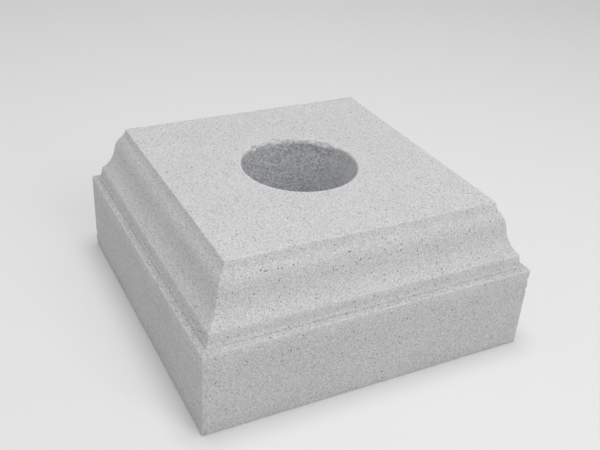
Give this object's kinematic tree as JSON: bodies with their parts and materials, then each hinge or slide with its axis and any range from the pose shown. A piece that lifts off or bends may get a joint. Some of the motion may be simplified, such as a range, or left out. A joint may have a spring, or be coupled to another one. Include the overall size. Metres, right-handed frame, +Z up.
{
  "type": "column base block",
  "caption": "Square cast-stone column base with a plain plinth, a cove-and-ovolo base moulding, a flat bed and a round bore through its middle.",
  "frame": {"origin": "middle of the underside, on the bore's axis", "axes": "+Z up along the bore towards the bed that the column stands on; +X and +Y square to the sides, which are all alike"},
  "size_m": [0.4, 0.4, 0.18],
  "materials": {
    "cast_stone": "matte"
  },
  "bodies": {
    "root": {"column_base_block": "cast_stone"}
  },
  "joints": []
}
